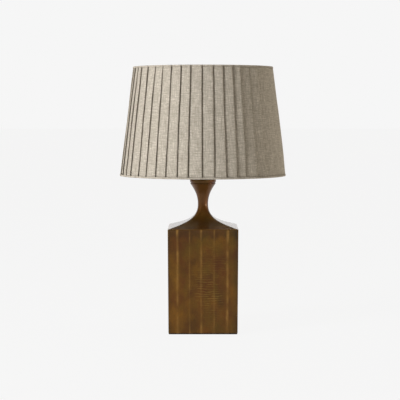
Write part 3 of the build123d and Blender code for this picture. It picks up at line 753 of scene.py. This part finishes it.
def outside_rings(angles):
    """The casting's outside, from the foot's edge up over the eave and the roof to the flare."""
    foot = shaft_half(FOOT_LEVEL)
    low = FOOT_LEVEL + FOOT_EASE_RISE
    high = EAVE_LEVEL - EAVE_BAND
    levels = [low + (high - low) * step / SHAFT_STEPS for step in range(SHAFT_STEPS + 1)]
    levels += [EAVE_LEVEL - 1.3 * MM, EAVE_LEVEL - 0.5 * MM]
    rings = [plain_ring(angles, foot - FOOT_EASE, CORNER_ROUND, FOOT_LEVEL)]
    rings += [shaft_ring(level) for level in levels]
    rings.append(plain_ring(angles, EAVE_HALF - 0.25 * MM, CORNER_ROUND, EAVE_LEVEL - 0.1 * MM, EAVE_WEAR))
    for step in range(1, ROOF_STEPS + 1):
        half, height = bezier(ROOF_CURVE, step / ROOF_STEPS)
        wear = ROOF_WEAR * math.exp(-((EAVE_HALF - half) / ROOF_WEAR_REACH))
        above = height - EAVE_LEVEL - ROOF_SHADE_RISE
        # Painted shade in a band a little above the eave
        dusk = 0.1 + ROOF_SHADE_DARK * math.exp(-((above / ROOF_SHADE_REACH) ** 2))
        rings.append(plain_ring(angles, half, min(half, roof_corner(half)), height, wear, dusk))
    for step in range(1, FLARE_STEPS + 1):
        radius, height = bezier(FLARE_CURVE, step / FLARE_STEPS)
        wear = FLARE_WEAR * step / FLARE_STEPS
        rings.append(plain_ring(angles, radius, radius, height, wear, FLARE_SHADE_DARK))
    return rings


def make_column():
    """The whole casting as one closed skin: down inside it, and back up outside."""
    angles = [math.atan2(spot.point.y, spot.point.x) for spot in shaft_ring(EAVE_LEVEL)]
    rings = inside_rings(angles) + outside_rings(angles)
    spots = [spot for ring in rings for spot in ring]
    verts = [tuple(spot.point) for spot in spots]
    faces = grid_faces(len(rings), len(angles), True)
    piece = make_piece("column", verts, faces, "stand", fluted_bronze)
    places = [value for spot in spots for value in spot.place]
    set_attribute(piece.data, "face_place", "FLOAT_VECTOR", places)
    # Wear, painted shade and chatter go to the material
    for name in ("wear", "dusk", "chatter"):
        values = [max(0.0, min(1.0, getattr(spot, name))) for spot in spots]
        set_attribute(piece.data, name, "FLOAT", values)
    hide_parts("column_body")
    return piece


INLET_LEVEL = 10.5 * MM
INLET_RADIUS = 5.2 * MM


def cut_inlet(piece):
    """Cuts the cord's hole through the back wall."""
    bpy.ops.mesh.primitive_cylinder_add(
        vertices=48,
        radius=INLET_RADIUS,
        depth=4 * COLUMN_WALL,
        location=(0, shaft_half(INLET_LEVEL) - COLUMN_WALL / 2, INLET_LEVEL),
        rotation=(math.pi / 2, 0, 0),
    )
    drill = bpy.context.object
    cut = piece.modifiers.new("inlet", "BOOLEAN")
    cut.operation = "DIFFERENCE"
    cut.object = drill
    cut.solver = "EXACT"
    bpy.context.view_layer.objects.active = piece
    bpy.ops.object.modifier_apply(modifier=cut.name)
    bpy.data.objects.remove(drill)


column = make_column()
cut_inlet(column)
crease(column.data, 40)


# ---- Neck cap ----

ROD_HOLE = 5.4 * MM
CAP_SPIGOT = 18.0 * MM
CAP_RIM = 2.2 * MM
BEAD_RADIUS = 0.8 * MM
BEAD_INSET = 0.6 * MM
COVE_RADIUS = 0.7 * MM
COVE_OUTSET = 0.4 * MM
COVE_RISE = 2.3 * MM
# The cap's wall leans out a little: its inset and its place at the cove and under the rim
WALL_FOOT, WALL_RISE = 0.5 * MM, 3.4 * MM
WALL_HEAD, WALL_DROP = 0.2 * MM, 2 * MM


def make_cap():
    """Turned collar: a fine bead over the flare, a cove, and a rounded rim."""
    low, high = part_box("neck_cap")
    radius, top = high.x, high.z
    profile = [(ROD_HOLE, low.z), (CAP_SPIGOT, low.z), (CAP_SPIGOT, FLARE_TOP)]
    profile += arc((FLARE_RADIUS - BEAD_INSET, FLARE_TOP + BEAD_RADIUS), BEAD_RADIUS, -90, 60, 6)
    profile += arc((FLARE_RADIUS + COVE_OUTSET, FLARE_TOP + COVE_RISE), COVE_RADIUS, 230, 130, 4)
    profile.append((radius - WALL_FOOT, FLARE_TOP + WALL_RISE))
    profile.append((radius - WALL_HEAD, top - CAP_RIM - WALL_DROP))
    profile += arc((radius - CAP_RIM, top - CAP_RIM), CAP_RIM, 0, 90, 8)
    profile += [(ROD_HOLE, top)]
    piece = turned("collar", profile, "stand", finishes["aged_bronze"], 128)
    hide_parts("neck_cap")


make_cap()


# ---- Lampholder's skirt ----

HOLDER_SHELL = 1.0 * MM
SHADE_SEAT_WIDTH = 4.5 * MM
SHADE_SEAT_THICKNESS = 2.0 * MM
SEAT_GAP = 0.2 * MM
HOLDER_LIP_RADIUS = 14.8 * MM
THREAD_PITCH = 2.5 * MM
THREAD_DEPTH = 0.6 * MM
THREAD_STEPS = 10


def make_skirt():
    """The skirt: a seat for the shade, and above it the thread that carries the clamp ring."""
    low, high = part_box("lampholder_skirt")
    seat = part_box("shade_fitter_ring")[0].z - SEAT_GAP
    seat_low = seat - SHADE_SEAT_THICKNESS
    radius = high.x - SHADE_SEAT_WIDTH
    inside = radius - HOLDER_SHELL
    profile = [(inside, low.z), (radius, low.z), (radius, seat_low), (high.x, seat_low)]
    profile += [(high.x, seat), (radius, seat)]
    steps = round((high.z - seat) / THREAD_PITCH * THREAD_STEPS)
    for step in range(1, steps):
        height = seat + (high.z - seat) * step / steps
        run_out = min(1.0, (height - seat) / THREAD_PITCH, (high.z - height) / THREAD_PITCH)
        profile.append((radius, height, THREAD_DEPTH * run_out))
    profile += [(radius, high.z), (HOLDER_LIP_RADIUS, high.z)]
    profile += [(HOLDER_LIP_RADIUS, high.z - HOLDER_SHELL), (inside, high.z - HOLDER_SHELL)]
    piece = turned("skirt", profile, "stand", finishes["lamp_brass"], pitch=THREAD_PITCH)
    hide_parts("lampholder_skirt")


make_skirt()


# ---- Shade ----

SHADE_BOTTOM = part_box("shade_bottom_binding")[0].z
SHADE_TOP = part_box("shade_top_binding")[1].z
SHADE_HEIGHT = SHADE_TOP - SHADE_BOTTOM
BOTTOM_RADIUS = 175.0 * MM
SHADE_TAPER = 28.4 * MM
SIDE_BULGE = 0.6 * MM

CLOTH = 0.4 * MM
BINDING = 0.5 * MM
BINDING_HEIGHT = 3.6 * MM
CLOTH_GAP = 0.1 * MM
RAISED_INSET = 0.1 * MM
TUCKED_INSET = 3.5 * MM
# Shares of a panel's width: where it starts to rise, how far in the painted crease shade reaches, where it
# droops
VALLEY_SHARE = 0.08
CREASE_SHADE_SHARE = 0.13
DROOP_SHARE = 0.14
DROOP = 0.12
PANEL_STEPS = 16
CLOTH_ROWS = 30
RIM_STEPS = 1056
LINING_OUTSIDE = 7.0 * MM
LINING = 0.6 * MM
LINING_ROWS = 24
BINDING_INSIDE = 8.2 * MM

CLOTH_LOW = SHADE_BOTTOM + BINDING + CLOTH_GAP
CLOTH_HIGH = SHADE_TOP - BINDING - CLOTH_GAP

PLEATS = 44
FRONT_FOLD = 269.0
BOTTOM_TUCK = 7.0 * MM
# How far the folds left and right of the front's middle stray from even spacing, in degrees, from
# left to right: the pleats are pinned by hand
FOLDS_LEFT = (-0.2, -0.7, -1.3, 0.2, -0.1, -0.2, -0.4, -0.4, -1.0)
FOLDS_RIGHT = (0.0, 0.3, 0.1, -0.2, -1.5, -0.5, -0.1, 0.9, 0.9)

strays = [random.uniform(-0.8, 0.8) for pleat in range(PLEATS)]
leans = [random.uniform(-0.5, 0.5) for pleat in range(PLEATS)]
for count, stray in enumerate(FOLDS_LEFT + FOLDS_RIGHT):
    strays[(count - len(FOLDS_LEFT)) % PLEATS] = stray


def drum_radius(height, inset=0.0):
    """Radius of the drum at a height, less an inset; its sides swell very slightly."""
    share = (height - SHADE_BOTTOM) / SHADE_HEIGHT
    return BOTTOM_RADIUS - SHADE_TAPER * share + SIDE_BULGE * 4 * share * (1 - share) - inset


def fold_angle(pleat, height):
    """Direction of a fold at a height, in radians: it leans and wanders by a millimetre or so."""
    fold = pleat % PLEATS
    even = FRONT_FOLD + 360 * pleat / PLEATS + strays[fold]
    share = (height - SHADE_BOTTOM) / SHADE_HEIGHT
    lean = leans[fold] * (share - 0.5)
    wander = 0.3 * waver(fold * 2.7, height * 11, 4)
    wander += 0.12 * waver(fold * 2.7, height * 45, 14)
    return math.radians(even + lean + wander)


def fold_lift(pleat, height):
    """How far a fold stands up: 1 is full, and a fold that is pressed down has less."""
    wave = waver(pleat % PLEATS * 3.9, height * 8, 8)
    return min(1.0, max(0.35, 0.95 + 0.75 * wave))


def panel_inset(pleat, share, height):
    """Inset of a panel's middle layer: it rises evenly from under one fold to the next."""
    lift = (TUCKED_INSET - RAISED_INSET) * fold_lift(pleat + 1, height)
    climb = max(0.0, (share - VALLEY_SHARE) / (1 - VALLEY_SHARE)) ** 0.85
    droop = max(0.0, (share - 1 + DROOP_SHARE) / DROOP_SHARE) ** 2 * DROOP
    pucker = 0.3 * MM * waver(pleat % PLEATS * 1.9, share * 2.2, height * 26)
    return TUCKED_INSET - lift * (climb - droop) + pucker * climb * (1 - share)


def pleat_path(pleat, height):
    """Middle of the cloth through one pleat: under, over the panel and back, as (angle, inset, share of
    painted shade).
    """
    radius = drum_radius(height)
    start = fold_angle(pleat, height)
    end = fold_angle(pleat + 1, height)
    share_up = (height - SHADE_BOTTOM) / SHADE_HEIGHT
    tuck = (BOTTOM_TUCK + SHADE_TAPER * share_up * math.pi / PLEATS) / radius
    fold = (TUCKED_INSET - RAISED_INSET) * fold_lift(pleat + 1, height) / 5
    path = []
    # Under layer, from the inner fold to where it comes out beneath the fold on its left
    for share in (0.15, 0.5, 0.85):
        path.append((start - tuck * (1 - share), TUCKED_INSET, 1.0))
    for step in range(PANEL_STEPS):
        share = (step + 0.3) / PANEL_STEPS
        # Painted shade beside the fold, fading out across the panel
        crease_shade = max(0.0, 1 - share / CREASE_SHADE_SHARE)
        path.append((start + (end - start) * share, panel_inset(pleat, share, height), crease_shade))
    # The fold: round its edge and back beneath
    edge = end - fold / radius
    top = panel_inset(pleat, 1.0, height)
    for out, rise in arc((0.0, 0.0), 1.0, 70, -70, 6):
        path.append((edge + fold * out / radius, top + fold * (1 - rise), 0.5 - 0.5 * rise))
    layer = top + 2 * fold
    for share in (0.25, 0.5, 0.8):
        inset = layer + (TUCKED_INSET - 2 * fold - layer) * share
        path.append((end - tuck * share, inset, 1.0))
    inner = end - tuck
    for out, rise in arc((0.0, 0.0), 1.0, 60, -60, 4):
        path.append((inner - fold * out / radius, TUCKED_INSET - fold - fold * rise, 1.0))
    return path


def cloth_row(height):
    """Outer and inner points of the whole cloth round the drum at a height, its run and its painted shade.
    """
    middle, crease_shade = [], []
    for pleat in range(PLEATS):
        for angle, inset, crease_shaded in pleat_path(pleat, height):
            radius = drum_radius(height, inset)
            middle.append(Vector((radius * math.cos(angle), radius * math.sin(angle))))
            crease_shade.append(crease_shaded)
    outer, inner, run = [], [], [0.0]
    for step, point in enumerate(middle):
        ahead = middle[(step + 1) % len(middle)]
        along = (ahead - middle[step - 1]).normalized()
        normal = Vector((along.y, -along.x))
        outer.append(point + normal * CLOTH / 2)
        inner.append(point - normal * CLOTH / 2)
        run.append(run[-1] + (ahead - point).length)
    return outer, inner, run, crease_shade


def cover_insets(height, window):
    """Insets, all round the drum, of a strip that is pressed onto the pleats.

    The strip bridges the valleys that are narrower than the window, in steps to each side.
    """
    bare = []
    pleat = -1 - PLEATS // 2
    for step in range(RIM_STEPS):
        angle = math.radians(FRONT_FOLD - 180 + 360 * step / RIM_STEPS)
        while fold_angle(pleat + 1, height) <= angle:
            pleat += 1
        start = fold_angle(pleat, height)
        end = fold_angle(pleat + 1, height)
        bare.append(panel_inset(pleat, (angle - start) / (end - start), height))
    near = range(-window, window + 1)
    outmost = [min(bare[(step + k) % RIM_STEPS] for k in near) for step in range(RIM_STEPS)]
    return [sum(outmost[(step + k) % RIM_STEPS] for k in near) / len(near) for step in range(RIM_STEPS)]


def make_pleats():
    """The knife-pleated cover: one long cloth, folded round the drum, with its real thickness."""
    span = CLOTH_HIGH - CLOTH_LOW
    levels = [CLOTH_LOW + span * row / CLOTH_ROWS for row in range(CLOTH_ROWS + 1)]
    rows = [(level, *cloth_row(level)) for level in levels]
    verts, places, crease_shades = [], [], []
    for level, outer, inner, run, crease_shade in rows:
        verts += [(point.x, point.y, level) for point in outer]
        places += [value for along in run[:-1] for value in (along, level, 0.0)]
        crease_shades += crease_shade
    for level, outer, inner, run, crease_shade in reversed(rows):
        verts += [(point.x, point.y, level) for point in inner]
        places += [value for along in run[:-1] for value in (along, level, 1.0)]
        crease_shades += [0.0] * len(crease_shade)
    columns = len(verts) // (2 * len(rows))
    faces = grid_faces(2 * len(rows), columns, True)
    piece = make_piece("pleats", verts, faces, "shade", pleated_linen)
    set_attribute(piece.data, "cloth_place", "FLOAT_VECTOR", places)
    # Painted shade in the creases of the outer side; the inner side has none
    set_attribute(piece.data, "crease_shade", "FLOAT", crease_shades)
    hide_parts("shade_pleats")
    return piece


# Stations round a binding strip: how much of the pleats' shape it takes, its inset there, and its
# rise from the shade's edge
BINDING_STATIONS = (
    (1, 0.0, BINDING_HEIGHT),
    (1, -BINDING, BINDING_HEIGHT - 0.15 * MM),
    (1, -BINDING, BINDING_HEIGHT * 0.6),
    (1, -BINDING, 1.2 * MM),
    (0.9, -BINDING + 0.1 * MM, 0.5 * MM),
    (0.7, 0.1 * MM, 0.0),
    (0, BINDING_INSIDE / 2, 0.0),
    (0, BINDING_INSIDE - 0.9 * MM, 0.0),
    (0, BINDING_INSIDE - 0.2 * MM, 0.5 * MM),
    (0, BINDING_INSIDE, BINDING_HEIGHT * 0.6),
    (0, BINDING_INSIDE, BINDING_HEIGHT),
    (0, BINDING_INSIDE - BINDING, BINDING_HEIGHT),
    (0, BINDING_INSIDE - BINDING, BINDING_HEIGHT * 0.5),
    (0, BINDING_INSIDE - 1.2 * MM, BINDING),
    (0.8, 0.9 * MM, BINDING),
    (1, 0.0, BINDING_HEIGHT * 0.5),
)


def make_binding(name, node, edge, inward, window):
    """A strip of the same linen folded round an edge of the drum and pressed onto the pleats."""
    first = math.radians(FRONT_FOLD - 180)
    gap = CLOTH / 2 + CLOTH_GAP
    verts, places = [], []
    run = 0.0
    for pressed, inset, rise in BINDING_STATIONS:
        height = edge + inward * rise
        covered = cover_insets(edge + inward * max(rise, BINDING), window)
        run += BINDING_HEIGHT / 2
        for step in range(RIM_STEPS):
            angle = first + 2 * math.pi * step / RIM_STEPS
            cos, sin = math.cos(angle), math.sin(angle)
            if pressed:
                own = pressed * (covered[step] - gap) + (1 - pressed) * BINDING + inset
            else:
                own = inset + 0.08 * MM * waver(cos * 30, sin * 30, edge)
            radius = drum_radius(height, own)
            verts.append((radius * cos, radius * sin, height))
            places += [radius * (angle - first), run, 0.0]
    faces = grid_faces(len(BINDING_STATIONS), RIM_STEPS, True)
    piece = make_piece(name, verts, faces, "shade", binding_linen)
    set_attribute(piece.data, "cloth_place", "FLOAT_VECTOR", places)
    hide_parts(node)
    return piece


def make_lining():
    """The lining: a plain cone of cotton inside the frame."""
    profile = []
    for row in range(LINING_ROWS + 1):
        height = CLOTH_LOW + (CLOTH_HIGH - CLOTH_LOW) * row / LINING_ROWS
        profile.append((drum_radius(height, LINING_OUTSIDE), height))
    profile += [(radius - LINING, height) for radius, height in reversed(profile)]
    piece = turned("lining", profile, "shade", finishes["lining_cloth"], 240, wobble=0.1 * MM)
    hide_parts("shade_lining")
    return piece


# The bottom strip is stretched over the pleats, the top one follows them
pleats = make_pleats()
bottom_binding = make_binding("bottom_binding", "shade_bottom_binding", SHADE_BOTTOM, 1, 9)
top_binding = make_binding("top_binding", "shade_top_binding", SHADE_TOP, -1, 1)
lining = make_lining()


# ---- Felt under the foot ----


FELT_STEPS = 240
FELT_MIDDLE = 20 * MM


def make_felt():
    """A square of felt with soft, slightly ragged edges."""
    low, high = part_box("base_felt")
    half = shaft_half(FOOT_LEVEL) - FOOT_EASE
    soft = 0.3 * MM
    layers = (
        (FELT_MIDDLE, low.z),
        (half - soft, low.z),
        (half, low.z + soft),
        (half, high.z - soft),
        (half - soft, high.z),
        (FELT_MIDDLE, high.z),
    )
    verts = []
    for reach, height in layers:
        for step in range(FELT_STEPS):
            angle = 2 * math.pi * step / FELT_STEPS
            cos, sin = math.cos(angle), math.sin(angle)
            ragged = 0.12 * MM * abs(waver(cos * 40, sin * 40, height * 900))
            radius = square_reach(angle, reach, min(CORNER_ROUND, reach)) - ragged
            verts.append((radius * cos, radius * sin, height))
    faces = grid_faces(len(layers), FELT_STEPS, False)
    first = tuple(range(FELT_STEPS))
    last = tuple(range(len(verts) - FELT_STEPS, len(verts)))
    piece = make_piece("felt", verts, faces + [first[::-1], last], "stand", finishes["dark_felt"])
    crease(piece.data, 50)
    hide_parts("base_felt")


make_felt()


# ---- Studio ----

BACKDROP = srgb(246, 246, 246)
FLOOR_LEVEL = -0.2 * MM
FLOOR_REACH = 30
FLOOR_GLOW = 1.02
FLOOR_GLOW_SHARE = 0.95
SKY_WARMTH = (1.0, 0.93, 0.82)
# The room brightens from front to back over this reach, in light and in reflections
ROOM_REACH = (-0.3, 0.8)
ROOM_LIGHT = (0.14, 0.66)
ROOM_GLOSS = (0.04, 1.2)
KEY_PLACE = (-2.4, -1.9, 1.35)


def floor_material():
    """Pale and plain; the camera and reflections see it as the backdrop's white."""
    made = Finish("floor", srgb(214, 214, 214), 0.8)
    path = made.node("ShaderNodeLightPath").outputs
    seen = made.maths("MAXIMUM", path["Is Camera Ray"], path["Is Glossy Ray"])
    seen = made.maths("MAXIMUM", seen, path["Is Transmission Ray"])
    glow = made.node("ShaderNodeEmission", {"Color": (*BACKDROP, 1), "Strength": FLOOR_GLOW}).outputs[0]
    grain = made.noise(made.place(), 3.0, detail=3)
    made.finish(made.mix(grain, srgb(210, 210, 210), srgb(218, 218, 218)))
    share = made.maths("MULTIPLY", seen, FLOOR_GLOW_SHARE)
    both = made.node("ShaderNodeMixShader", {0: share, 1: made.shader.outputs[0], 2: glow}).outputs[0]
    # From below, the floor lets the underside of the lamp be seen
    back = made.node("ShaderNodeNewGeometry").outputs["Backfacing"]
    under = made.maths("MULTIPLY", back, path["Is Camera Ray"])
    clear = made.node("ShaderNodeBsdfTransparent").outputs[0]
    whole = made.node("ShaderNodeMixShader", {0: under, 1: both, 2: clear}).outputs[0]
    made.tree.links.new(whole, made.tree.nodes["Material Output"].inputs["Surface"])
    return made.material


def make_floor():
    """A wide floor just under the felt."""
    mesh = bpy.data.meshes.new("floor")
    signs = ((-1, -1), (1, -1), (1, 1), (-1, 1))
    corners = [(x * FLOOR_REACH, y * FLOOR_REACH, FLOOR_LEVEL) for x, y in signs]
    mesh.from_pydata(corners, [], [(0, 1, 2, 3)])
    mesh.materials.append(floor_material())
    floor = add_object("floor", mesh)


def make_world():
    """A white room to the camera. Its light is warm and soft, and stronger from behind the lamp."""
    world = bpy.data.worlds.new("studio")
    bpy.context.scene.world = world
    world.use_nodes = True
    made = Nodes(world.node_tree)
    place = made.node("ShaderNodeTexCoord").outputs["Generated"]
    along = made.node("ShaderNodeSeparateXYZ", {0: place}).outputs["Y"]
    path = made.node("ShaderNodeLightPath").outputs
    soft = made.mix(1.0, made.spread(along, *ROOM_REACH, *ROOM_LIGHT), SKY_WARMTH, "MULTIPLY")
    light = made.mix(path["Is Glossy Ray"], soft, made.spread(along, *ROOM_REACH, *ROOM_GLOSS))
    for ray in ("Is Transmission Ray", "Is Camera Ray"):
        light = made.mix(path[ray], light, BACKDROP)
    made.tree.links.new(light, made.tree.nodes["Background"].inputs["Color"])


def make_lamp(name, place, aim, size, power, colour=(1, 1, 1), diffuse=True, glossy=True):
    """A square soft light that looks at a point."""
    light = bpy.data.lights.new(name, "AREA")
    light.size = size
    light.energy = power
    light.color = colour
    lamp = add_object(name, light)
    lamp.location = place
    lamp.rotation_euler = (Vector(aim) - Vector(place)).to_track_quat("-Z", "Y").to_euler()
    lamp.visible_diffuse = diffuse
    lamp.visible_glossy = glossy


make_floor()
make_world()
# The key light's reflection is weaker than its light, so it is made as two lamps
LAMP_MIDDLE = (0, 0, 0.35)
make_lamp("key", KEY_PLACE, LAMP_MIDDLE, 0.9, 90, glossy=False)
make_lamp("key_gloss", KEY_PLACE, LAMP_MIDDLE, 0.9, 32, (1, 0.93, 0.8), diffuse=False)
make_lamp("fill", (2.4, -0.3, 0.8), LAMP_MIDDLE, 1.4, 14, (1, 0.9, 0.74), glossy=False)
make_lamp("card", (1.7, -0.6, 0.4), (0, 0, 0.25), 0.3, 14, (1, 0.85, 0.65), diffuse=False)

bpy.context.scene.view_settings.view_transform = "Standard"
